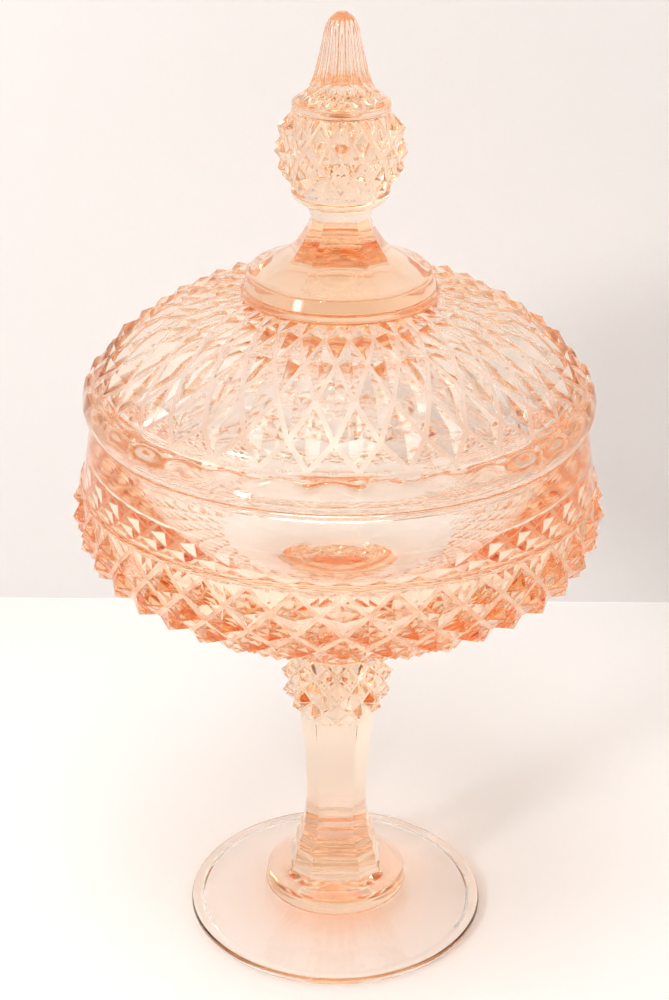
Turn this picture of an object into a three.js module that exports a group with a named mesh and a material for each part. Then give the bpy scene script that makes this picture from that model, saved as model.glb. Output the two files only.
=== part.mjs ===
// Covered pressed-glass candy dish on a tall stem, millimetres, +Z up.
// Origin: centre of the foot ring, on the surface that the dish stands on. -Y is the front.
// Two loose pieces of glass: the footed dish and its lid. Each is divided here at the joins
// between the parts that a glassmaker names, so every part is one closed body.

import * as THREE from 'three';

// ---- Driving dimensions ----------------------------------------------------------------

const FOOT_RADIUS = 49.3;
const FOOT_RIM_HEIGHT = 2.4;
const FOOT_RING_WIDTH = 3.8;        // flat ring that the dish stands on
const COLLAR_RADIUS = 23.4;
const COLLAR_BOTTOM = 9.1;
const COLLAR_TOP = 13.6;
const STEM_BOTTOM = 17.0;           // joins, from the foot up
const KNOP_BOTTOM = 76.0;
const BOWL_BOTTOM = 98.5;
const BAND_BOTTOM = 159.8;          // plain band round the bowl's mouth
const BOWL_RIM = 182.4;
const LID_SEAT = 182.7;             // underside of the lid's flange
const LID_LIP_BOTTOM = 177.6;
const CROWN_BOTTOM = 222.6;
const BALL_BOTTOM = 248.6;
const CAP_BOTTOM = 277.2;
const TOP = 305.0;

const BOWL_DIAMONDS = 36;           // diamonds in one ring
const LID_DIAMONDS = 33;
const KNOP_DIAMONDS = 12;
const BALL_DIAMONDS = 16;
const SPIRE_FLUTES = 16;

const BOWL_PHASE = 1.3;             // degrees from the front to the first groove crossing
const LID_PHASE = -1.16;

const RIM_RADIUS = 76.4;            // bowl's mouth, outside and inside
const RIM_INNER_RADIUS = 72.4;
const LIP_RADIUS = 71.4;            // lid's locating lip, 1 mm inside the bowl's mouth
const LIP_INNER_RADIUS = 68.2;
const FLANGE_RADIUS = 78.6;         // lid's bead; below it the seat is flush with the mouth
const SEAT_RADIUS = 77.2;

const ROUND_COLUMNS = 48;
const WIDE_PANEL_HALF_ANGLE = 29;   // the stem and neck are an octagon of wide and narrow panels

// ---- Materials --------------------------------------------------------------------------

const peachGlass = () => new THREE.MeshStandardMaterial({
  color: 0xf4c4a4, roughness: 0.08, metalness: 0, transparent: true, opacity: 0.6,
});

// ---- Mesh of stacked rings --------------------------------------------------------------

const radians = (degrees) => (degrees * Math.PI) / 180;

/** Evenly spaced azimuths in degrees, starting at phase; 0 is the front. */
function azimuths(count, phase = 0) {
  return Array.from({ length: count }, (_, i) => phase + (360 * i) / count);
}

/** Azimuths of the octagon's corners, with `between` more points along every panel. */
function panelAzimuths(between = 0) {
  const corners = [];
  for (let quarter = 0; quarter < 4; quarter += 1) {
    corners.push(90 * quarter - WIDE_PANEL_HALF_ANGLE, 90 * quarter + WIDE_PANEL_HALF_ANGLE);
  }
  const list = [];
  corners.forEach((start, i) => {
    const end = i + 1 < corners.length ? corners[i + 1] : corners[0] + 360;
    for (let k = 0; k <= between; k += 1) list.push(start + ((end - start) * k) / (between + 1));
  });
  return list;
}

/** Distance from the axis to an octagon panel, as a share of its corner radius. */
function panelShare(azimuth) {
  const fromWide = Math.abs(((azimuth + 45) % 90 + 90) % 90 - 45);
  const half = fromWide <= WIDE_PANEL_HALF_ANGLE ? WIDE_PANEL_HALF_ANGLE : 45 - WIDE_PANEL_HALF_ANGLE;
  const fromMiddle = fromWide <= WIDE_PANEL_HALF_ANGLE ? fromWide : 45 - fromWide;
  return Math.cos(radians(half)) / Math.cos(radians(fromMiddle));
}

/**
 * Closed body from rings listed along its outline, from one point on the axis to another.
 * A ring gives [radius, height] for column i; the two ends are heights on the axis.
 * splitFirst(i, j) says which diagonal divides the cell between rings j and j + 1.
 */
function ringBody(angles, startHeight, rings, endHeight, splitFirst = () => true) {
  const count = angles.length;
  const points = [[0, 0, startHeight]];
  rings.forEach((ring) => angles.forEach((azimuth, i) => {
    const [radius, height] = ring(i, azimuth);
    const turn = radians(azimuth);
    points.push([radius * Math.sin(turn), -radius * Math.cos(turn), height]);
  }));
  points.push([0, 0, endHeight]);

  const at = (j, i) => 1 + j * count + (i % count);
  const last = points.length - 1;
  const faces = [];
  for (let i = 0; i < count; i += 1) {
    faces.push([0, at(0, i + 1), at(0, i)]);
    for (let j = 0; j + 1 < rings.length; j += 1) {
      const [a, b] = [at(j, i), at(j, i + 1)];
      const [c, d] = [at(j + 1, i + 1), at(j + 1, i)];
      if (splitFirst(i, j)) faces.push([a, b, c], [a, c, d]);
      else faces.push([a, b, d], [b, c, d]);
    }
    faces.push([last, at(rings.length - 1, i), at(rings.length - 1, i + 1)]);
  }
  const geometry = new THREE.BufferGeometry();
  geometry.setAttribute('position', new THREE.Float32BufferAttribute(points.flat(), 3));
  geometry.setIndex(faces.flat());
  geometry.computeVertexNormals();
  return geometry;
}

const circle = (radius, height) => () => [radius, height];
const panelled = (radius, height, sharpness = 1) => (i, azimuth) => (
  [radius * (1 - sharpness * (1 - panelShare(azimuth))), height]);

/**
 * Rings of a diamond lattice on rows of base points. Where column + row is odd the point
 * is a pyramid's tip, raised along the row's normal; elsewhere two grooves cross.
 */
function latticeRings(rows) {
  return rows.map((row, j) => (i) => {
    const rise = (i + j) % 2 === 1 ? row.tip : 0;
    return [row.radius + rise * row.outward, row.height + rise * row.upward];
  });
}

/** The cell's diagonal that follows the groove, for rings listed from the lattice's row 0. */
const alongGroove = (firstRing) => (i, j) => (i + j - firstRing) % 2 === 0;

/** Lattice rows from crossings listed downwards: tips are a share of the half width, low at both edges. */
function downwardRows(crossings, diamonds, tipShare) {
  const last = crossings.length - 1;
  return crossings.map(([radius, height], j) => {
    const [r0, z0] = crossings[Math.max(j - 1, 0)];
    const [r1, z1] = crossings[Math.min(j + 1, last)];
    const length = Math.hypot(r1 - r0, z1 - z0);
    const tip = j === 0 || j === last ? 0.5 : (tipShare * Math.PI * radius) / diamonds;
    return { radius, height, tip, outward: (z0 - z1) / length, upward: (r1 - r0) / length };
  });
}

// ---- Foot -------------------------------------------------------------------------------

function foot() {
  const ringInner = FOOT_RADIUS - FOOT_RING_WIDTH;
  const edge = 0.6;
  const outline = [
    [ringInner - 1.2, 0.9], [ringInner, 0], [FOOT_RADIUS - edge, 0], [FOOT_RADIUS, edge],
    [FOOT_RADIUS, FOOT_RIM_HEIGHT - edge], [FOOT_RADIUS - edge, FOOT_RIM_HEIGHT],
    [44, 3.3], [36, 5.1], [29, 7.2], [COLLAR_RADIUS, COLLAR_BOTTOM], [COLLAR_RADIUS, COLLAR_TOP],
  ];
  const domeTop = 16.7;
  for (let k = 1; k <= 4; k += 1) {
    const turn = (Math.PI / 2) * (k / 4);
    outline.push([
      domeTop + (COLLAR_RADIUS - domeTop) * Math.cos(turn) ** 0.8,
      COLLAR_TOP + (STEM_BOTTOM - COLLAR_TOP) * Math.sin(turn) ** 0.8,
    ]);
  }
  const hollow = [[12, 6.2], [26, 5.0], [36, 2.9]];
  const rings = [...hollow, ...outline].map(([r, z]) => circle(r, z));
  return ringBody(azimuths(ROUND_COLUMNS), 6.4, rings, STEM_BOTTOM);
}

// ---- Stem -------------------------------------------------------------------------------

function stem() {
  const steps = [
    [16.5, STEM_BOTTOM], [16.0, 18.2], [15.3, 23.2], [14.6, 23.9], [14.0, 27.6], [13.3, 28.3],
    [11.7, 35], [11.2, 43], [11.5, 54.8], [12.3, 64.6], [13.2, 71], [13.7, KNOP_BOTTOM],
  ];
  const rings = steps.map(([r, z]) => panelled(r, z));
  return ringBody(panelAzimuths(1), STEM_BOTTOM, rings, KNOP_BOTTOM);
}

// ---- Knop, the faceted ball under the bowl -------------------------------------------------

/** Ball of diamonds between two heights: base radii for each row, tips raised between them. */
function diamondBall(bottom, top, baseRadii, tip) {
  const middle = (bottom + top) / 2;
  const half = (top - bottom) / 2;
  const lastRow = baseRadii.length - 1;
  return baseRadii.map((radius, j) => {
    const height = bottom + ((top - bottom) * j) / lastRow;
    const tilt = 0.6 * Math.asin((height - middle) / half);
    const atEdge = j === 0 || j === lastRow;
    return {
      radius, height, tip: atEdge ? 0.6 : tip, outward: Math.cos(tilt), upward: atEdge ? 0 : Math.sin(tilt),
    };
  });
}

function knop() {
  const rows = diamondBall(KNOP_BOTTOM + 1, BOWL_BOTTOM - 1, [13.2, 14.4, 15.8, 15.8, 14.6, 13.0], 2.5);
  const rings = [circle(13.0, KNOP_BOTTOM), ...latticeRings(rows), circle(12.8, BOWL_BOTTOM)];
  return ringBody(azimuths(2 * KNOP_DIAMONDS), KNOP_BOTTOM, rings, BOWL_BOTTOM, alongGroove(1));
}

// ---- Bowl -------------------------------------------------------------------------------

const BOWL_TIP_SHARE = 0.4;         // pyramid height over half its width
const BELLY_ROWS = [                // groove crossings, each as far on as half a diamond is wide
  [79.9, BAND_BOTTOM], [80.5, 152.6], [79.4, 145.4], [76.2, 139.2], [71.2, 135.1], [65.7, 131.9],
  [60.5, 129.0], [55.7, 126.3], [51.2, 123.9], [47.0, 121.7], [43.3, 119.8],
];
const INSIDE_DEPTH = 68.0;
const INSIDE_ROUNDNESS = 2.15;      // 2 is half an ellipse

/** Smooth inside of the bowl, a little squarer than half an ellipse. */
function insideRing(turn) {
  const share = Math.cos(radians(turn)) ** (2 / INSIDE_ROUNDNESS);
  const drop = Math.sin(radians(turn)) ** (2 / INSIDE_ROUNDNESS);
  return circle(RIM_INNER_RADIUS * share, BOWL_RIM - INSIDE_DEPTH * drop);
}

function bowl() {
  const rows = downwardRows(BELLY_ROWS, BOWL_DIAMONDS, BOWL_TIP_SHARE).reverse();
  const parity = rows.length - 1;     // keeps a groove crossing in column 0 of the top row
  const lattice = latticeRings(rows).map((ring) => (i) => ring(i + parity));
  const underside = [
    circle(12.6, BOWL_BOTTOM), circle(16.6, 102.2), circle(19.4, 106.0), circle(27, 110.9), circle(35, 115.1),
  ];
  const band = [
    circle(80.2, 160.8), circle(79.2, 163.5), circle(77.6, 174), circle(RIM_RADIUS, BOWL_RIM - 0.5),
    circle(RIM_RADIUS - 0.5, BOWL_RIM), circle(RIM_INNER_RADIUS + 0.6, BOWL_RIM),
  ];
  const inside = [];
  for (let turn = 4; turn < 90; turn += 9) inside.push(insideRing(turn));
  const rings = [...underside, ...lattice, ...band, ...inside];
  const groove = alongGroove(underside.length + parity);
  return ringBody(
    azimuths(2 * BOWL_DIAMONDS, BOWL_PHASE), BOWL_BOTTOM, rings, BOWL_RIM - INSIDE_DEPTH,
    (i, j) => groove(i + 2 * rings.length, j),
  );
}

// ---- Lid dome ---------------------------------------------------------------------------

const LID_ROWS = [                  // groove crossings from the crown out to the shoulder
  [30.2, 220.6], [37.2, 219.4], [47.3, 215.6], [58.0, 208.8], [68.0, 200.6], [74.6, 194.6],
];
const LID_TIP_SHARE = 0.42;
const LID_INSIDE_TOP = 215.5;

function lidDome() {
  const rows = downwardRows(LID_ROWS, LID_DIAMONDS, LID_TIP_SHARE).reverse();
  const parity = rows.length - 1;
  const lattice = latticeRings(rows).map((ring) => (i) => ring(i + parity));
  const inside = [[LIP_INNER_RADIUS + 1.5, 191.6]];
  for (let radius = 64; radius > 4; radius -= 12) {
    inside.push([radius, LID_INSIDE_TOP - 24 * (radius / 71) ** 3.2]);
  }
  inside.reverse();
  const flange = [
    [LIP_INNER_RADIUS, LID_LIP_BOTTOM], [LIP_RADIUS - 0.6, LID_LIP_BOTTOM],
    [LIP_RADIUS, LID_LIP_BOTTOM + 0.6], [LIP_RADIUS + 0.2, LID_SEAT], [SEAT_RADIUS - 0.8, LID_SEAT],
    [SEAT_RADIUS, LID_SEAT + 0.9], [SEAT_RADIUS, 185.4], [FLANGE_RADIUS, 186.4], [78.3, 189.8],
    [76.8, 193.0],
  ];
  const below = [...inside, ...flange].map(([r, z]) => circle(r, z));
  const rings = [...below, ...lattice, circle(29.7, 221.2), circle(29.6, CROWN_BOTTOM)];
  const groove = alongGroove(below.length + parity);
  return ringBody(
    azimuths(2 * LID_DIAMONDS, LID_PHASE), LID_INSIDE_TOP, rings, CROWN_BOTTOM,
    (i, j) => groove(i + 2 * rings.length, j),
  );
}

// ---- Crown: the stepped disc and panelled neck that carry the finial ------------------------

function lidCrown() {
  const rings = [
    circle(29.6, CROWN_BOTTOM), circle(29.4, 224.2), panelled(28.1, 227.8, 0.1), panelled(27.0, 228.4, 0.15),
    panelled(21.5, 230.4, 0.4), panelled(16.6, 233.6, 0.9), panelled(13.3, 237.3), panelled(11.2, 239.9),
    panelled(9.8, 243), panelled(9.6, 245), panelled(10.4, 247.6), panelled(11.4, BALL_BOTTOM),
  ];
  return ringBody(panelAzimuths(3), CROWN_BOTTOM, rings, BALL_BOTTOM);
}

// ---- Finial: faceted ball under a fluted spire ----------------------------------------------

function finialBall() {
  const rows = diamondBall(253.8, CAP_BOTTOM - 0.9, [14.3, 16.1, 17.2, 16.2, 14.4], 2.7);
  const ringFoot = [circle(11.6, BALL_BOTTOM), circle(13.2, 250.4), circle(14.5, 252.4)];
  const rings = [...ringFoot, ...latticeRings(rows), circle(14.1, CAP_BOTTOM)];
  return ringBody(
    azimuths(2 * BALL_DIAMONDS), BALL_BOTTOM, rings, CAP_BOTTOM,
    (i, j) => alongGroove(ringFoot.length)(i + 2 * rings.length, j),
  );
}

function finialCap() {
  const fluted = (radius, height, depth) => (i) => [radius - (i % 2 === 0 ? depth : 0), height];
  const rings = [
    circle(14.1, CAP_BOTTOM), circle(14.5, CAP_BOTTOM + 0.5), circle(14.5, 279.2), circle(13.9, 279.6),
    fluted(12.1, 280.6, 0.5), fluted(10.2, 282.1, 0.7), fluted(8.4, 285, 0.6), fluted(7.2, 289.3, 0.5),
    fluted(6.15, 293.7, 0.4), fluted(5.3, 298, 0.3), fluted(4.5, 301.4, 0.1), circle(3.3, 303.6),
    circle(1.6, 304.8),
  ];
  return ringBody(azimuths(2 * SPIRE_FLUTES), CAP_BOTTOM, rings, TOP);
}

// ---- Assembly ---------------------------------------------------------------------------

const candyDish = new THREE.Group();
const parts = {
  foot,
  stem,
  knop,
  bowl,
  lid_dome: lidDome,
  lid_crown: lidCrown,
  finial_ball: finialBall,
  finial_cap: finialCap,
};
for (const [name, make] of Object.entries(parts)) {
  const mesh = new THREE.Mesh(make(), peachGlass());
  mesh.name = name;
  candyDish.add(mesh);
}

export default candyDish;
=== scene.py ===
import math

import bpy
from mathutils import Euler, Matrix, Vector


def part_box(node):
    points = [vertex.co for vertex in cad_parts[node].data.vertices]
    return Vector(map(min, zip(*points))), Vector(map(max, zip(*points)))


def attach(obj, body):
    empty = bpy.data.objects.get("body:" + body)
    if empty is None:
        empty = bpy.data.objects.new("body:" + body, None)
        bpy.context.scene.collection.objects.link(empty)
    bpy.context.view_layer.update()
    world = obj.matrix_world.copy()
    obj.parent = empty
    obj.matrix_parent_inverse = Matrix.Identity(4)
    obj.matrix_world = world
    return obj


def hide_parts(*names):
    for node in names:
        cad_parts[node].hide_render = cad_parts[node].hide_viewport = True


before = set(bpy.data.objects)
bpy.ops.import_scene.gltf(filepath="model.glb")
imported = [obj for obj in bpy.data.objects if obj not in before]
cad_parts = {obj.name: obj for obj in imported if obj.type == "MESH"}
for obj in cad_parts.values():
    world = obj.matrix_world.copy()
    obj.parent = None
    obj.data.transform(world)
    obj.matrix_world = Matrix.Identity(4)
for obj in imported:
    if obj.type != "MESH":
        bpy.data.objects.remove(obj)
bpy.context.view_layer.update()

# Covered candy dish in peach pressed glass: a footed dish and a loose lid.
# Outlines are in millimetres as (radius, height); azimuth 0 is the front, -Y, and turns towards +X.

MM = 0.001

# ---- Sizes taken from the frame --------------------------------------------------------------


def low(node):
    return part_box(node)[0][2] / MM


def high(node, axis=2):
    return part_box(node)[1][axis] / MM


FOOT_RADIUS = high("foot", 0)
BOWL_BOTTOM = low("bowl")
BOWL_RIM = high("bowl")
LIP_BOTTOM = low("lid_dome")
CROWN_BOTTOM = low("lid_crown")
BALL_BOTTOM = low("finial_ball")
CAP_BOTTOM = low("finial_cap")
TOP = high("finial_cap")

# ---- Driving dimensions of the looks ---------------------------------------------------------

BOWL_DIAMONDS = 36
LID_DIAMONDS = 33
KNOP_DIAMONDS = 12
BALL_DIAMONDS = 16
SPIRE_FLUTES = 16
BOWL_PHASE = 1.3                # degrees from the front to a groove crossing
LID_PHASE = -1.16
FINE = 7                        # mesh steps from a groove crossing to the next tip
BALL_FINE = 5
GROOVE_SHARE = 1 / FINE         # flat floor of a groove, over the way from its middle to a tip
SMOOTH_ANGLE = 25               # degrees between faces that still show as one curve
LATTICE_ANGLE = 5               # the same inside a diamond lattice, so that its facets stay crisp
MARK_SLACK = 1e-4               # rounding allowed where a mark should fall on a lattice node
NODE_SLACK = 1e-6
NO_TIP = 0.00001                # metres; a shorter tip vector means no pyramid
FLOOR_SHARE = 0.001             # share of a tip's height that still counts as groove floor

RIM_RADIUS = 76.4
LID_SEAT = BOWL_RIM + 0.3
LIP_RADIUS = 71.4
LIP_INNER_RADIUS = 68.2
SEAT_RADIUS = 77.2
WIDE_PANEL = 60                 # degrees; the narrow panels between take the other 30
CORNER_EASE = 0.012             # panels blend where their distances differ by less than this share
FLUTE_ROUNDNESS = 1.6

# ---- Outlines --------------------------------------------------------------------------------


def rounded(points, steps=7):
    """Outline through (radius, height, fillet) corners, each fillet as an arc; fillet 0 keeps the point."""
    outline = []
    for k, (r, z, fillet) in enumerate(points):
        if fillet == 0 or k in (0, len(points) - 1):
            outline.append((r, z))
            continue
        (r0, z0, _), (r1, z1, _) = points[k - 1], points[k + 1]
        back = math.hypot(r0 - r, z0 - z)
        on = math.hypot(r1 - r, z1 - z)
        reach = min(fillet, 0.48 * back, 0.48 * on)
        start = (r + (r0 - r) * reach / back, z + (z0 - z) * reach / back)
        end = (r + (r1 - r) * reach / on, z + (z1 - z) * reach / on)
        for step in range(steps + 1):
            t = step / steps
            outline.append(tuple(
                (1 - t) ** 2 * a + 2 * t * (1 - t) * b + t * t * c
                for a, b, c in zip(start, (r, z), end)
            ))
    return outline


def smooth(points, steps=5):
    """Outline of a smooth curve through its points (Catmull-Rom)."""
    ends = [points[0], *points, points[-1]]
    outline = []
    for a, b, c, d in zip(ends, ends[1:], ends[2:], ends[3:]):
        for step in range(steps):
            t = step / steps
            outline.append(tuple(
                0.5 * (2 * q + (r - p) * t + (2 * p - 5 * q + 4 * r - s) * t * t
                       + (3 * q - p - 3 * r + s) * t ** 3)
                for p, q, r, s in zip(a, b, c, d)
            ))
    outline.append(tuple(points[-1]))
    return outline


# ---- Skin of rings ---------------------------------------------------------------------------


class Skin:
    """A closed body built as rings along its outline, from the axis to the axis.

    Each ring has its own number of columns. Vertices of a diamond lattice carry across and along,
    which count half diamonds round and down the body, and tip, the way from base to tip of their pyramid.
    """

    def __init__(self):
        self.points = []
        self.marks = []
        self.rings = []

    def add(self, points, azimuths, marks=None):
        self.rings.append((len(self.points), azimuths))
        self.points += [tuple(c * MM for c in point) for point in points]
        self.marks += marks or [(0.0, 0.0, (0.0, 0.0, 0.0))] * len(points)

    def axis(self, height):
        self.add([(0.0, 0.0, height)], [0.0])

    def ring(self, radius, height, count, phase=0.0, shape=None):
        """Adds one ring; shape(azimuth, radius, height) may return a changed radius and height."""
        azimuths = [phase + 360 * i / count for i in range(count)]
        places = [shape(azimuth, radius, height) if shape else (radius, height) for azimuth in azimuths]
        self.add([around(azimuth, *place) for azimuth, place in zip(azimuths, places)], azimuths)

    def outline(self, points, count, phase=0.0, shape=None):
        for radius, height in points:
            self.ring(radius, height, count, phase, shape)

    def mesh(self, name):
        faces = []
        for first, second in zip(self.rings, self.rings[1:]):
            same = first[1] == second[1] and len(first[1]) > 1
            faces += self._band(first, second) if same else self._zip(first, second)
        mesh = bpy.data.meshes.new(name)
        mesh.from_pydata(self.points, [], faces, shade_flat=False)
        for k, label in enumerate(("across", "along")):
            layer = mesh.attributes.new(label, "FLOAT", "POINT")
            layer.data.foreach_set("value", [mark[k] for mark in self.marks])
        layer = mesh.attributes.new("tip", "FLOAT_VECTOR", "POINT")
        layer.data.foreach_set("vector", [c * MM for mark in self.marks for c in mark[2]])
        return mesh

    def _band(self, first, second):
        """Faces between two rings with the same columns, cut along the grooves inside a lattice."""
        (a, azimuths), (b, _) = first, second
        count = len(azimuths)
        in_lattice = any(self.marks[a][2]) and any(self.marks[b][2])
        low_along = math.floor(min(self.marks[a][1], self.marks[b][1]) + MARK_SLACK)
        growing = self.marks[b][1] > self.marks[a][1]
        faces = []
        for i in range(count):
            j = (i + 1) % count
            cell = math.floor(self.marks[a + i][0] + MARK_SLACK) + low_along
            if not in_lattice:
                faces.append((a + i, a + j, b + j, b + i))
            elif (cell % 2 == 0) == growing:
                faces += [(a + i, b + j, b + i), (a + i, a + j, b + j)]
            else:
                faces += [(a + i, a + j, b + i), (b + i, a + j, b + j)]
        return faces

    @staticmethod
    def _zip(first, second):
        """Triangles between two rings with different columns, matched by azimuth."""
        (a, turns_a), (b, turns_b) = first, second
        many, few = len(turns_a), len(turns_b)
        i = j = 0
        faces = []
        while i < many or j < few:
            end_a = turns_a[0] + 360 * (i + 1) / many
            end_b = turns_b[0] + 360 * (j + 1) / few
            from_a = few == 1 or (many > 1 and (j == few or (i < many and end_a <= end_b)))
            if from_a:
                faces.append((a + i, a + (i + 1) % many, b + j % few))
                i += 1
            else:
                faces.append((a + i % many, b + (j + 1) % few, b + j))
                j += 1
            if 1 in (many, few) and max(i, j) == max(many, few):
                break
        return faces


def around(azimuth, radius, height):
    turn = math.radians(azimuth)
    return radius * math.sin(turn), -radius * math.cos(turn), height


# ---- Shapes that vary round a ring -----------------------------------------------------------


def panel_share(azimuth):
    """Distance to the octagon of wide and narrow panels, over its corner radius, corners eased."""
    half_wide = math.radians(WIDE_PANEL / 2)
    half_narrow = math.radians((90 - WIDE_PANEL) / 2)
    from_wide = math.radians(abs((azimuth + 45) % 90 - 45))
    wide = math.cos(half_wide) / math.cos(from_wide)
    narrow = math.cos(half_narrow) / math.cos(math.radians(45) - from_wide)
    gap = max(CORNER_EASE - abs(wide - narrow), 0) / CORNER_EASE
    return min(wide, narrow) - gap * gap * CORNER_EASE / 4


def panelled(sharpness=1.0):
    """Shape that cuts a round ring into panels; sharpness 0 leaves it round."""
    def shape(azimuth, radius, height):
        return radius * (1 - sharpness * (1 - panel_share(azimuth))), height
    return shape


def scalloped(up, out=0.0):
    """Shape that lets a ring's height and radius wave once per diamond; high between groove ends."""
    def shape(azimuth, radius, height):
        wave = math.cos(math.radians((azimuth - LID_PHASE) * LID_DIAMONDS))
        return radius + out * wave, height + up * wave
    return shape


def fluted(depth):
    """Shape with scooped flutes that meet in crisp ridges."""
    def shape(azimuth, radius, height):
        across = abs(math.sin(math.radians(azimuth * SPIRE_FLUTES / 2)))
        return radius - depth * (1 - (1 - across) ** FLUTE_ROUNDNESS), height
    return shape


# ---- Diamond lattices ------------------------------------------------------------------------


class Lattice:
    """Diamonds on a body of revolution, from rows of (radius, height, tip height) listed downwards.

    Node (i, j) is i half diamonds round and j rows down. Grooves cross where i + j is even and a
    pyramid stands on every other node, so each facet is the flat triangle from a tip to two crossings.
    """

    def __init__(self, rows, diamonds, phase, fine):
        self.rows = rows
        self.diamonds = diamonds
        self.phase = phase
        self.fine = fine

    def azimuth(self, across):
        return self.phase + across * 180 / self.diamonds

    def node(self, i, j):
        radius, height, _ = self.rows[j]
        return around(self.azimuth(i), radius, height)

    def tip(self, i, j):
        """From the node to its tip, square to the body."""
        before, after = self.rows[max(j - 1, 0)], self.rows[min(j + 1, len(self.rows) - 1)]
        run, drop = after[0] - before[0], after[1] - before[1]
        reach = self.rows[j][2] / math.hypot(run, drop)
        return around(self.azimuth(i), -drop * reach, run * reach)

    def spot(self, across, along):
        """Place on the base and the tip of the pyramid there."""
        i = math.floor(across + NODE_SLACK)
        j = min(math.floor(along + NODE_SLACK), len(self.rows) - 2)
        u, v = across - i, along - j
        if (i + j) % 2 == 0 and u >= v:
            corners, weights, apex = ((0, 0), (1, 0), (1, 1)), (1 - u, u - v, v), (1, 0)
        elif (i + j) % 2 == 0:
            corners, weights, apex = ((0, 0), (0, 1), (1, 1)), (1 - v, v - u, u), (0, 1)
        elif u + v <= 1:
            corners, weights, apex = ((0, 0), (1, 0), (0, 1)), (1 - u - v, u, v), (0, 0)
        else:
            corners, weights, apex = ((1, 0), (0, 1), (1, 1)), (1 - v, 1 - u, u + v - 1), (1, 1)
        nodes = [self.node(i + di, j + dj) for di, dj in corners]
        place = tuple(sum(w * node[k] for w, node in zip(weights, nodes)) for k in range(3))
        return place, self.tip(i + apex[0], j + apex[1])

    def add_to(self, skin):
        """Adds the rings from the lowest row up."""
        columns = [i / self.fine for i in range(2 * self.diamonds * self.fine)]
        azimuths = [self.azimuth(across) for across in columns]
        for step in range((len(self.rows) - 1) * self.fine, -1, -1):
            along = step / self.fine
            spots = [self.spot(across, along) for across in columns]
            marks = [(across, along, tip) for across, (_, tip) in zip(columns, spots)]
            skin.add([place for place, _ in spots], azimuths, marks)


def with_tips(outline, diamonds, edge_tip, share):
    """Rows whose pyramids are as high as a share of their half width, with low ones at both edges."""
    last = len(outline) - 1
    return [
        (radius, height, edge_tip if j in (0, last) else share * math.pi * radius / diamonds)
        for j, (radius, height) in enumerate(outline)
    ]


# Rows of groove crossings as (radius, height), from the top down. A tip share is the height of a
# pyramid over its half width, and an edge tip is its height in the first and last rows.
BELLY_ROWS = (
    (79.9, 159.8), (80.5, 152.6), (79.4, 145.4), (76.2, 139.2), (71.2, 135.1), (65.7, 131.9),
    (60.5, 129.0), (55.7, 126.3), (51.2, 123.9), (47.0, 121.7), (43.3, 119.8),
)
BELLY_TIP_SHARE = 0.4
BELLY_EDGE_TIP = 0.5
INSIDE_RADIUS = 72.6
INSIDE_DEPTH = 68.0
INSIDE_ROUNDNESS = 2.15


def inside_height(radius):
    """Smooth inside of the bowl, a little squarer than half an ellipse."""
    below = (1 - (radius / INSIDE_RADIUS) ** INSIDE_ROUNDNESS) ** (1 / INSIDE_ROUNDNESS)
    return BOWL_RIM - INSIDE_DEPTH * below


LID_ROWS = ((30.2, 220.6), (37.2, 219.4), (47.3, 215.6), (58.0, 208.8), (68.0, 200.6), (74.6, 194.6))
LID_TIP_SHARE = 0.42
LID_EDGE_TIP = 0.5
KNOP_ROWS = ((13.0, 97.5), (14.6, 93.4), (15.8, 89.3), (15.8, 85.2), (14.4, 81.1), (13.2, 77.0))
KNOP_TIP_SHARE = 0.62
KNOP_EDGE_TIP = 0.3
KNOP_PHASE = 15.0
BALL_ROWS = ((14.4, 276.3), (16.2, 270.7), (17.2, 265.1), (16.1, 259.5), (14.3, 253.8))
BALL_TIP_SHARE = 0.82
BALL_EDGE_TIP = 0.4


# ---- The footed dish -------------------------------------------------------------------------

ROUND = 144
BOWL_COLUMNS = 2 * BOWL_DIAMONDS * FINE


def add_foot(skin):
    skin.axis(6.4)
    skin.outline(smooth([(8, 6.3), (20, 5.7), (32, 3.9), (43.8, 1.4)]), ROUND)
    skin.outline(rounded([
        (44.6, 1.2, 0), (45.6, 0, 0.8), (FOOT_RADIUS, 0, 1.4), (FOOT_RADIUS, 2.5, 1.4),
        (46.6, 2.7, 0),
    ]), ROUND)
    skin.outline(smooth([(45.5, 2.9), (38, 4.5), (30, 6.9), (24.9, 8.7)]), ROUND)
    skin.outline(rounded([
        (24.2, 8.95, 0), (23.5, 9.2, 0.5), (23.4, 10.4, 0.6), (23.4, 12.9, 0.8), (22.6, 13.8, 1.2),
        (21.4, 14.4, 0),
    ]), ROUND)
    skin.outline([(20.2, 14.9), (18.9, 15.5), (17.9, 16.1)], ROUND, shape=panelled(0.25))


STEM_CORNERS = (
    (17.2, 16.8, 0.0), (16.6, 17.4, 0.6), (15.9, 18.4, 0.8), (15.3, 22.8, 0.8), (14.9, 23.8, 0.5),
    (14.5, 24.3, 0.5), (14.0, 27.2, 0.8), (13.6, 28.0, 0.6), (13.0, 28.8, 0.0),
)
STEM_CURVE = (
    (12.75, 29.6), (11.9, 34), (11.35, 40), (11.25, 46), (11.5, 54.8), (12.2, 64.6), (13.1, 71),
    (13.6, 75.4),
)


def add_stem(skin):
    skin.outline(rounded(STEM_CORNERS, 5), ROUND, shape=panelled())
    skin.outline(smooth(STEM_CURVE, 4), ROUND, shape=panelled())


def add_knop(skin):
    rows = with_tips(KNOP_ROWS, KNOP_DIAMONDS, KNOP_EDGE_TIP, KNOP_TIP_SHARE)
    Lattice(rows, KNOP_DIAMONDS, KNOP_PHASE, FINE).add_to(skin)


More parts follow.
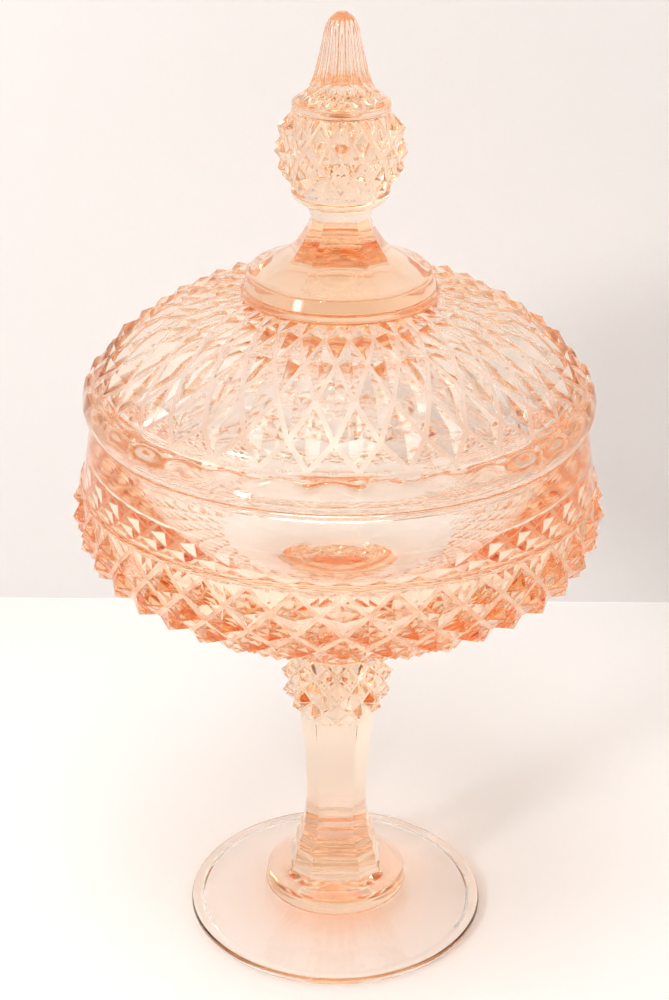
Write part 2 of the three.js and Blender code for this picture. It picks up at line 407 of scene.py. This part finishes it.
def add_bowl(skin):
    skin.outline(smooth([
        (12.9, BOWL_BOTTOM), (14.9, 99.6), (16.6, 102.2), (19.4, 106.0), (27, 110.9), (35, 115.1),
        (42.2, 119.1),
    ], 4), ROUND)
    rows = with_tips(BELLY_ROWS, BOWL_DIAMONDS, BELLY_EDGE_TIP, BELLY_TIP_SHARE)
    Lattice(rows, BOWL_DIAMONDS, BOWL_PHASE, FINE).add_to(skin)
    skin.outline(rounded([
        (80.3, 160.2, 0), (80.7, 160.7, 0.5), (80.4, 161.4, 0.6), (79.6, 161.9, 0.6), (79.2, 163.5, 0),
    ], 5), BOWL_COLUMNS, BOWL_PHASE)
    skin.outline(smooth([(78.8, 166.5), (77.6, 174), (76.7, 179.6)], 4), BOWL_COLUMNS, BOWL_PHASE)
    skin.outline(rounded([
        (RIM_RADIUS + 0.1, 180.6, 0), (RIM_RADIUS, BOWL_RIM, 1.3), (INSIDE_RADIUS, BOWL_RIM, 1.3),
        (INSIDE_RADIUS - 0.03, 180, 0),
    ]), BOWL_COLUMNS // 2, BOWL_PHASE)
    for turn in range(4, 91, 2):
        radius = INSIDE_RADIUS * math.cos(math.radians(turn)) ** (2 / INSIDE_ROUNDNESS)
        skin.ring(radius, inside_height(radius), BOWL_COLUMNS // 2, BOWL_PHASE)
    skin.axis(inside_height(0))


# ---- The lid ---------------------------------------------------------------------------------

LID_COLUMNS = 2 * LID_DIAMONDS * FINE
CROWN_COLUMNS = 132
BALL_COLUMNS = 2 * BALL_DIAMONDS * BALL_FINE
LID_INSIDE_TOP = 215.5
LID_INSIDE_DROP = 24            # from the top to the inside's full radius
LID_INSIDE_RADIUS = 71
LID_INSIDE_ROUNDNESS = 3.2


def add_lid_inside(skin):
    skin.axis(LID_INSIDE_TOP)
    for radius in range(3, 67, 3):
        drop = LID_INSIDE_DROP * (radius / LID_INSIDE_RADIUS) ** LID_INSIDE_ROUNDNESS
        skin.ring(radius, LID_INSIDE_TOP - drop, LID_COLUMNS // 2, LID_PHASE)
    skin.outline(rounded([
        (68, 194.3, 0), (69.7, 191.6, 2.5), (69.2, 186, 0), (LIP_INNER_RADIUS, LIP_BOTTOM, 1.2),
        (LIP_RADIUS, LIP_BOTTOM, 1.2), (LIP_RADIUS, LID_SEAT, 0.4), (74.2, LID_SEAT, 0),
    ]), LID_COLUMNS // 2, LID_PHASE)


def add_lid_edge(skin):
    """Seat, then the bead whose lower and upper edges wave once per diamond, then the channel above it."""
    skin.outline(rounded([
        (74.6, LID_SEAT, 0), (SEAT_RADIUS, LID_SEAT + 0.1, 2.4), (SEAT_RADIUS, 185.2, 0.8),
        (SEAT_RADIUS - 0.5, 185.6, 0.3), (SEAT_RADIUS, 185.9, 0),
    ], 5), LID_COLUMNS, LID_PHASE)
    skin.outline(rounded([
        (SEAT_RADIUS + 0.5, 186.0, 0), (78.5, 186.2, 0.6), (78.6, 187.3, 0),
    ], 5), LID_COLUMNS, LID_PHASE, scalloped(0.75, 0.15))
    skin.outline([(78.55, 188.3), (78.35, 189.6), (78.0, 191.0)], LID_COLUMNS, LID_PHASE, scalloped(0.6))
    skin.outline(rounded([
        (77.6, 192.2, 0), (77.0, 193.0, 0.6), (76.3, 192.9, 0),
    ], 5), LID_COLUMNS, LID_PHASE, scalloped(0.6, 0.1))
    skin.outline([(76.0, 193.1), (75.6, 193.5), (75.2, 194.0)], LID_COLUMNS, LID_PHASE, scalloped(0.1))


def add_lid_dome(skin):
    rows = with_tips(LID_ROWS, LID_DIAMONDS, LID_EDGE_TIP, LID_TIP_SHARE)
    Lattice(rows, LID_DIAMONDS, LID_PHASE, FINE).add_to(skin)


def add_crown(skin):
    skin.outline(rounded([
        (30.3, 220.9, 0), (30.6, 221.9, 0.7), (29.7, CROWN_BOTTOM, 0.4),
        (29.2, CROWN_BOTTOM + 0.3, 0.3), (29.6, CROWN_BOTTOM + 1.1, 0.6), (28.9, 225.6, 0),
        (28.2, 227.6, 0.7), (27.2, 228.2, 0.7), (25.6, 228.6, 0),
    ], 5), CROWN_COLUMNS, 0.0, panelled(0.12))
    flare = smooth([
        (25.0, 228.8), (21.3, 230.3), (17.0, 232.8), (14.2, 236.0), (11.9, 239.4), (10.3, 242.6),
        (10.0, 245.2),
    ])
    for k, (radius, height) in enumerate(flare):
        sharpness = min(1, 0.2 + 1.4 * k / len(flare))
        skin.ring(radius, height, CROWN_COLUMNS, shape=panelled(sharpness))
    neck_end = rounded([(10.3, 246.4, 0), (11.0, BALL_BOTTOM, 1.0), (12.0, 249.0, 0)], 5)
    skin.outline(neck_end, CROWN_COLUMNS, shape=panelled(0.7))


def add_ball(skin):
    skin.outline(rounded([
        (12.6, 249.4, 0), (14.2, 250.6, 1.2), (14.9, 252.4, 1.2), (14.4, 253.4, 0.4),
    ], 5), BALL_COLUMNS)
    rows = with_tips(BALL_ROWS, BALL_DIAMONDS, BALL_EDGE_TIP, BALL_TIP_SHARE)
    Lattice(rows, BALL_DIAMONDS, 0.0, BALL_FINE).add_to(skin)


def add_cap(skin):
    skin.outline(rounded([
        (14.0, 276.6, 0), (13.9, CAP_BOTTOM, 0.3), (14.5, CAP_BOTTOM + 0.4, 0.5), (14.5, 279.0, 0.5),
        (14.0, 279.4, 0),
    ], 5), BALL_COLUMNS)
    spire = (
        (13.6, 279.6), (12.1, 280.6), (10.3, 282.1), (8.7, 285), (7.4, 289.3), (6.35, 293.7),
        (5.5, 298), (4.6, 301.2), (3.3, 303.4), (1.4, 304.8),
    )
    depths = (0.0, 0.5, 0.9, 0.85, 0.7, 0.55, 0.4, 0.2, 0.05, 0.0)
    for (radius, height), depth in zip(smooth(spire, 5), in_steps(depths, 5)):
        skin.ring(radius, height, BALL_COLUMNS, shape=fluted(depth))
    skin.axis(TOP)


def in_steps(values, steps):
    """The values with straight steps between them, to go with smooth()."""
    return [
        a + (b - a) * s / steps for a, b in zip(values, values[1:]) for s in range(steps)
    ] + [values[-1]]


# ---- Diamond relief, in Geometry Nodes -------------------------------------------------------


def relief_tree():
    """Raises four-sided pyramids out of a smooth body, with flat-floored grooves between them.

    Grooves run where across + along and across - along are even; both waves are 1 at a tip.
    The faces on a groove's floor are marked with groove = 1, for the glass to show a duller skin there.
    """
    tree = bpy.data.node_groups.new("Diamond relief", "GeometryNodeTree")
    tree.interface.new_socket("Geometry", in_out="INPUT", socket_type="NodeSocketGeometry")
    tree.interface.new_socket("Groove share", in_out="INPUT", socket_type="NodeSocketFloat")
    tree.interface.new_socket("Glass", in_out="INPUT", socket_type="NodeSocketMaterial")
    tree.interface.new_socket("Geometry", in_out="OUTPUT", socket_type="NodeSocketGeometry")
    source = tree.nodes.new("NodeGroupInput")
    result = tree.nodes.new("NodeGroupOutput")

    def named(label, kind="FLOAT"):
        node = tree.nodes.new("GeometryNodeInputNamedAttribute")
        node.data_type = kind
        node.inputs["Name"].default_value = label
        return node.outputs["Attribute"]

    def maths(operation, first, second):
        node = tree.nodes.new("ShaderNodeMath")
        node.operation = operation
        for socket, value in zip(node.inputs, (first, second)):
            if isinstance(value, (int, float)):
                socket.default_value = value
            else:
                tree.links.new(value, socket)
        return node.outputs[0]

    across, along = named("across"), named("along")
    rising = maths("PINGPONG", maths("ADD", across, along), 1.0)
    falling = maths("PINGPONG", maths("SUBTRACT", across, along), 1.0)
    pyramid = maths("MINIMUM", rising, falling)
    above_floor = maths("MAXIMUM", maths("SUBTRACT", pyramid, source.outputs["Groove share"]), 0.0)
    share = maths("DIVIDE", above_floor, maths("SUBTRACT", 1.0, source.outputs["Groove share"]))
    way = named("tip", "FLOAT_VECTOR")
    offset = tree.nodes.new("ShaderNodeVectorMath")
    offset.operation = "SCALE"
    tree.links.new(way, offset.inputs[0])
    tree.links.new(share, offset.inputs["Scale"])
    place = tree.nodes.new("GeometryNodeSetPosition")
    tree.links.new(source.outputs["Geometry"], place.inputs["Geometry"])
    tree.links.new(offset.outputs["Vector"], place.inputs["Offset"])

    length = tree.nodes.new("ShaderNodeVectorMath")
    length.operation = "LENGTH"
    tree.links.new(way, length.inputs[0])
    cut = maths("GREATER_THAN", length.outputs["Value"], NO_TIP)
    crisper = maths("MULTIPLY", cut, math.radians(SMOOTH_ANGLE - LATTICE_ANGLE))
    limit = maths("SUBTRACT", math.radians(SMOOTH_ANGLE), crisper)
    bend = tree.nodes.new("GeometryNodeInputMeshEdgeAngle")
    crease = tree.nodes.new("GeometryNodeSetShadeSmooth")
    crease.domain = "EDGE"
    crease.inputs["Shade Smooth"].default_value = False
    tree.links.new(place.outputs["Geometry"], crease.inputs["Geometry"])
    tree.links.new(maths("GREATER_THAN", bend.outputs["Unsigned Angle"], limit), crease.inputs["Selection"])
    mark = tree.nodes.new("GeometryNodeStoreNamedAttribute")
    mark.domain = "FACE"
    mark.inputs["Name"].default_value = "groove"
    on_floor = maths("MULTIPLY", cut, maths("LESS_THAN", share, FLOOR_SHARE))
    tree.links.new(crease.outputs["Geometry"], mark.inputs["Geometry"])
    tree.links.new(on_floor, mark.inputs["Value"])
    realize = tree.nodes.new("GeometryNodeRealizeInstances")
    tree.links.new(mark.outputs["Geometry"], realize.inputs["Geometry"])
    finish = tree.nodes.new("GeometryNodeSetMaterial")
    tree.links.new(realize.outputs["Geometry"], finish.inputs["Geometry"])
    tree.links.new(source.outputs["Glass"], finish.inputs["Material"])
    tree.links.new(finish.outputs["Geometry"], result.inputs["Geometry"])
    return tree


def glass_piece(name, skin, relief, material):
    """The skin with its diamonds raised, as a plain mesh with crisp facets and smooth curves."""
    rough = bpy.data.objects.new(name + "_smooth", skin.mesh(name + "_smooth"))
    bpy.context.scene.collection.objects.link(rough)
    modifier = rough.modifiers.new("Diamond relief", "NODES")
    modifier.node_group = relief
    sockets = {item.name: item.identifier for item in relief.interface.items_tree if item.in_out == "INPUT"}
    modifier[sockets["Groove share"]] = GROOVE_SHARE
    modifier[sockets["Glass"]] = material
    graph = bpy.context.evaluated_depsgraph_get()
    mesh = bpy.data.meshes.new_from_object(rough.evaluated_get(graph))
    bpy.data.objects.remove(rough)
    mesh.name = name
    for label in ("across", "along", "tip"):
        mesh.attributes.remove(mesh.attributes[label])
    piece = bpy.data.objects.new(name, mesh)
    bpy.context.scene.collection.objects.link(piece)
    return piece


# ---- Glass -----------------------------------------------------------------------------------

TINT = (0.96, 0.53, 0.08)           # what a deep path keeps of each colour
TINT_DENSITY = 17.0                 # per metre of glass
GLASS_IOR = 1.51
GLASS_COLOUR = (1.0, 0.988, 0.98, 1)
GROOVE_HAZE = 0.25                  # extra roughness on the floor of a groove
PEEL_SHARE = 0.05                   # height of the fine texture over that of the slow ripples
BUMP_STRENGTH = 0.5
DISH_RIPPLE = 0.0002                # metres
LID_RIPPLE = 0.00015
DISH_POLISH = 0.07                  # most roughness that the ripples give
LID_POLISH = 0.12


def mould_skin_group():
    """Height and roughness of pressed glass: slow ripples, a faint orange peel, duller grooves."""
    group = bpy.data.node_groups.new("Mould skin", "ShaderNodeTree")
    for label, value in (("Ripple size", 60.0), ("Peel size", 900.0), ("Polish", 0.1), ("Groove", 0.0)):
        socket = group.interface.new_socket(label, in_out="INPUT", socket_type="NodeSocketFloat")
        socket.default_value = value
    group.interface.new_socket("Height", in_out="OUTPUT", socket_type="NodeSocketFloat")
    group.interface.new_socket("Roughness", in_out="OUTPUT", socket_type="NodeSocketFloat")
    source = group.nodes.new("NodeGroupInput")
    result = group.nodes.new("NodeGroupOutput")
    place = group.nodes.new("ShaderNodeTexCoord")

    def noise(size, detail):
        node = group.nodes.new("ShaderNodeTexNoise")
        node.inputs["Detail"].default_value = detail
        group.links.new(place.outputs["Object"], node.inputs["Vector"])
        group.links.new(source.outputs[size], node.inputs["Scale"])
        return node.outputs["Fac"]

    ripple, peel = noise("Ripple size", 2.0), noise("Peel size", 1.0)
    height = group.nodes.new("ShaderNodeMath")
    height.operation = "MULTIPLY_ADD"
    height.inputs[1].default_value = PEEL_SHARE
    group.links.new(peel, height.inputs[0])
    group.links.new(ripple, height.inputs[2])
    group.links.new(height.outputs[0], result.inputs["Height"])
    rough = group.nodes.new("ShaderNodeMath")
    rough.operation = "MULTIPLY"
    group.links.new(ripple, rough.inputs[0])
    group.links.new(source.outputs["Polish"], rough.inputs[1])
    duller = group.nodes.new("ShaderNodeMath")
    duller.operation = "MULTIPLY_ADD"
    duller.inputs[1].default_value = GROOVE_HAZE
    group.links.new(source.outputs["Groove"], duller.inputs[0])
    group.links.new(rough.outputs[0], duller.inputs[2])
    group.links.new(duller.outputs[0], result.inputs["Roughness"])
    return group


def peach_glass(name, skin_group, ripple, polish):
    """Clear glass whose peach tint deepens with the way light goes through it."""
    material = bpy.data.materials.new(name)
    material.use_nodes = True
    nodes, links = material.node_tree.nodes, material.node_tree.links
    shader = nodes["Principled BSDF"]
    shader.inputs["Base Color"].default_value = GLASS_COLOUR
    shader.inputs["Transmission Weight"].default_value = 1.0
    shader.inputs["IOR"].default_value = GLASS_IOR
    mould = nodes.new("ShaderNodeGroup")
    mould.node_tree = skin_group
    mould.inputs["Polish"].default_value = polish
    groove = nodes.new("ShaderNodeAttribute")
    groove.attribute_name = "groove"
    links.new(groove.outputs["Fac"], mould.inputs["Groove"])
    links.new(mould.outputs["Roughness"], shader.inputs["Roughness"])
    bump = nodes.new("ShaderNodeBump")
    bump.inputs["Strength"].default_value = BUMP_STRENGTH
    bump.inputs["Distance"].default_value = ripple
    links.new(mould.outputs["Height"], bump.inputs["Height"])
    links.new(bump.outputs["Normal"], shader.inputs["Normal"])
    tint = nodes.new("ShaderNodeVolumeAbsorption")
    tint.inputs["Color"].default_value = (*TINT, 1)
    tint.inputs["Density"].default_value = TINT_DENSITY
    links.new(tint.outputs["Volume"], nodes["Material Output"].inputs["Volume"])
    return material


# ---- Stage -----------------------------------------------------------------------------------

WALL_DISTANCE = 0.216
WALL_TOP = 1.4
FLOOR_FRONT = -2.4
STAGE_HALF_WIDTH = 1.6
FLOOR_GAP = 0.0002
FLOOR_COLOUR = (0.93, 0.915, 0.90)
WALL_COLOUR = (0.82, 0.81, 0.81)
ROOM_DIM = (0.20, 0.16, 0.12)
ROOM_BRIGHT = (1.06, 1.06, 1.08)
DIM_DIRECTION = (0, -0.8, 0.6)
BRIGHT_UP_TO = 0.40                 # cosine of the angle to the dim direction
DIM_FROM = 0.86
LAMP_AIM = (0, 0, 0.16)
LAMP_COLOUR = (1.0, 0.98, 0.96)
GRAIN_SCALE = 900.0
GRAIN_DEPTH = 0.012                 # share of the card's tone


def stage_material(name, colour, one_sided):
    """Matte card with a faint grain in its tone; a one-sided card is see-through from behind."""
    material = bpy.data.materials.new(name)
    material.use_nodes = True
    nodes, links = material.node_tree.nodes, material.node_tree.links
    nodes.remove(nodes["Principled BSDF"])
    matte = nodes.new("ShaderNodeBsdfDiffuse")
    place = nodes.new("ShaderNodeTexCoord")
    grain = nodes.new("ShaderNodeTexNoise")
    grain.inputs["Scale"].default_value = GRAIN_SCALE
    links.new(place.outputs["Object"], grain.inputs["Vector"])
    tone = nodes.new("ShaderNodeValToRGB")
    darker, lighter = tone.color_ramp.elements
    darker.color = (*(c * (1 - GRAIN_DEPTH) for c in colour), 1)
    lighter.color = (*(c * (1 + GRAIN_DEPTH) for c in colour), 1)
    links.new(grain.outputs["Fac"], tone.inputs["Fac"])
    links.new(tone.outputs["Color"], matte.inputs["Color"])
    surface = matte.outputs["BSDF"]
    if one_sided:
        mix = nodes.new("ShaderNodeMixShader")
        links.new(nodes.new("ShaderNodeNewGeometry").outputs["Backfacing"], mix.inputs["Fac"])
        links.new(surface, mix.inputs[1])
        links.new(nodes.new("ShaderNodeBsdfTransparent").outputs["BSDF"], mix.inputs[2])
        surface = mix.outputs["Shader"]
    links.new(surface, nodes["Material Output"].inputs["Surface"])
    return material


def card(name, corners, material):
    mesh = bpy.data.meshes.new(name)
    mesh.from_pydata(corners, [], [(0, 1, 2, 3)])
    mesh.materials.append(material)
    piece = bpy.data.objects.new(name, mesh)
    bpy.context.scene.collection.objects.link(piece)


def make_stage():
    w, y, z = STAGE_HALF_WIDTH, WALL_DISTANCE, -FLOOR_GAP
    floor = stage_material("floor_card", FLOOR_COLOUR, False)
    wall = stage_material("wall_card", WALL_COLOUR, True)
    card("floor", [(-w, FLOOR_FRONT, z), (w, FLOOR_FRONT, z), (w, y, z), (-w, y, z)], floor)
    card("wall", [(-w, y, 0), (w, y, 0), (w, y, WALL_TOP), (-w, y, WALL_TOP)], wall)


def make_world():
    """Pale room all round with one dim patch, high in front, that gives the facets something to show."""
    world = bpy.data.worlds.new("studio")
    world.use_nodes = True
    bpy.context.scene.world = world
    nodes, links = world.node_tree.nodes, world.node_tree.links
    place = nodes.new("ShaderNodeTexCoord")
    towards = nodes.new("ShaderNodeVectorMath")
    towards.operation = "DOT_PRODUCT"
    towards.inputs[1].default_value = DIM_DIRECTION
    links.new(place.outputs["Generated"], towards.inputs[0])
    ramp = nodes.new("ShaderNodeValToRGB")
    bright, dim = ramp.color_ramp.elements
    bright.position = BRIGHT_UP_TO
    bright.color = (*ROOM_BRIGHT, 1)
    dim.position = DIM_FROM
    dim.color = (*ROOM_DIM, 1)
    links.new(towards.outputs["Value"], ramp.inputs["Fac"])
    links.new(ramp.outputs["Color"], nodes["Background"].inputs["Color"])


def area_light(name, place, size, power, mirrored):
    """Square light aimed at the bowl; one that isn't mirrored leaves no glint in the glass."""
    light = bpy.data.lights.new(name, "AREA")
    light.size = size
    light.energy = power
    light.color = LAMP_COLOUR
    lamp = bpy.data.objects.new(name, light)
    bpy.context.scene.collection.objects.link(lamp)
    lamp.visible_glossy = mirrored
    lamp.location = place
    aim = Vector(LAMP_AIM) - Vector(place)
    lamp.rotation_euler = aim.to_track_quat("-Z", "Y").to_euler()


def make_lights():
    area_light("key", (-0.75, -0.75, 0.52), 0.18, 4.6, False)
    area_light("overhead", (-0.1, -0.35, 1.2), 0.6, 6.0, False)
    area_light("glint", (-0.28, -0.75, 0.85), 0.07, 0.5, True)


# ---- Camera ----------------------------------------------------------------------------------

CAMERA_PLACE = (0.0, -0.6123, 0.4423)
CAMERA_PITCH = 25.44                # degrees down from level
CAMERA_YAW = 0.115
CAMERA_ROLL = 0.40
CAMERA_LENS = 77.5


def make_camera():
    data = bpy.data.cameras.new("camera")
    data.lens = CAMERA_LENS
    camera = bpy.data.objects.new("camera", data)
    bpy.context.scene.collection.objects.link(camera)
    aim = Euler((math.radians(90 - CAMERA_PITCH), 0, math.radians(CAMERA_YAW))).to_matrix()
    roll = Matrix.Rotation(math.radians(CAMERA_ROLL), 3, "Z")
    camera.matrix_world = Matrix.Translation(CAMERA_PLACE) @ (aim @ roll).to_4x4()
    bpy.context.scene.camera = camera


# ---- Assembly --------------------------------------------------------------------------------


def make_dish(relief, material):
    skin = Skin()
    add_foot(skin)
    add_stem(skin)
    add_knop(skin)
    add_bowl(skin)
    dish = glass_piece("footed_dish", skin, relief, material)
    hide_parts("foot", "stem", "knop", "bowl")
    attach(dish, "dish")


def make_lid(relief, material):
    skin = Skin()
    add_lid_inside(skin)
    add_lid_edge(skin)
    add_lid_dome(skin)
    add_crown(skin)
    add_ball(skin)
    add_cap(skin)
    lid = glass_piece("domed_lid", skin, relief, material)
    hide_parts("lid_dome", "lid_crown", "finial_ball", "finial_cap")
    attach(lid, "lid")


def set_light_paths():
    scene = bpy.context.scene
    scene.view_settings.view_transform = "Standard"
    scene.cycles.max_bounces = 32
    scene.cycles.transmission_bounces = 32
    scene.cycles.glossy_bounces = 16
    scene.cycles.diffuse_bounces = 4
    scene.cycles.caustics_refractive = True
    scene.cycles.caustics_reflective = True
    scene.cycles.blur_glossy = 0.0
    scene.cycles.sample_clamp_indirect = 30.0


make_camera()
make_stage()
make_world()
make_lights()
set_light_paths()
mould_skin = mould_skin_group()
diamond_relief = relief_tree()
make_dish(diamond_relief, peach_glass("dish_glass", mould_skin, DISH_RIPPLE, DISH_POLISH))
make_lid(diamond_relief, peach_glass("lid_glass", mould_skin, LID_RIPPLE, LID_POLISH))
